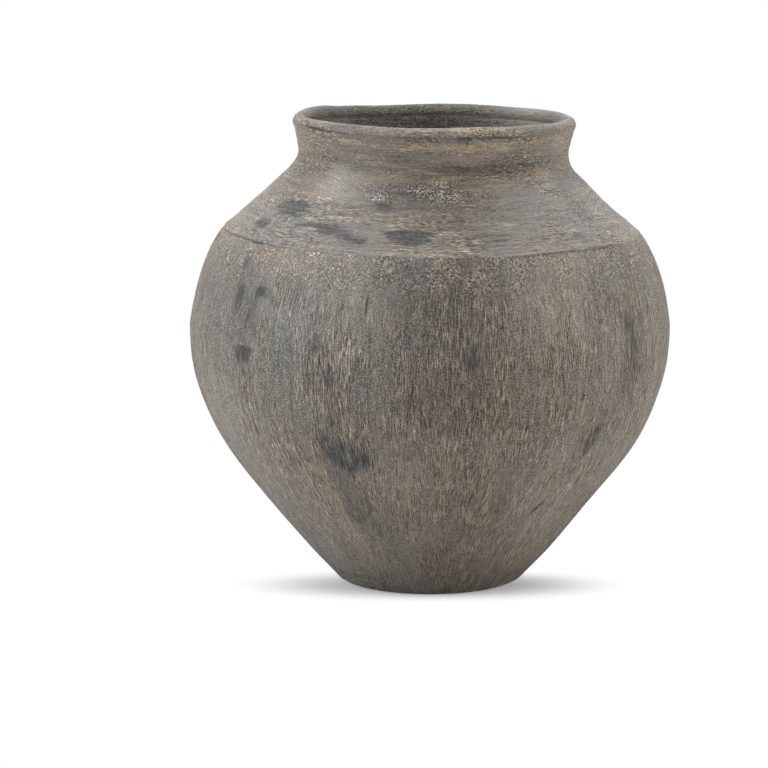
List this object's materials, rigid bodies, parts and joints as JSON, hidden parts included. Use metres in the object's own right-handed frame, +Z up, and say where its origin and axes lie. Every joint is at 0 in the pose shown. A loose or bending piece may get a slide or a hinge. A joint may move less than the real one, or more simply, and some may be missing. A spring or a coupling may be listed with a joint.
{
  "type": "clay storage jar",
  "caption": "Wide-bellied unglazed clay jar with a small flat foot, a conical shoulder on a visible seam and a short flared neck with a rolled rim.",
  "frame": {"origin": "centre of the foot's flat face, on the surface that the jar stands on", "axes": "+Z up through the mouth, +X to the right and -Y towards the viewer, as the jar is seen in the picture"},
  "size_m": [0.4384, 0.4384, 0.4251],
  "materials": {
    "body_clay": "unglazed, brushed upright, matt grey-brown",
    "crown_clay": "unglazed, wiped round, matt warm grey",
    "rim_clay": "unglazed, worn pale on the lip",
    "inner_clay": "unglazed, dark and dusty"
  },
  "bodies": {
    "root": {"base_slab": "body_clay", "floor_coil": "inner_clay", "lower_wall": "body_clay", "belly_wall": "body_clay", "upper_wall": "body_clay", "shoulder_ring": "crown_clay", "shoulder_coil": "inner_clay", "neck_collar": "crown_clay", "rim_coil": "rim_clay"}
  },
  "joints": []
}
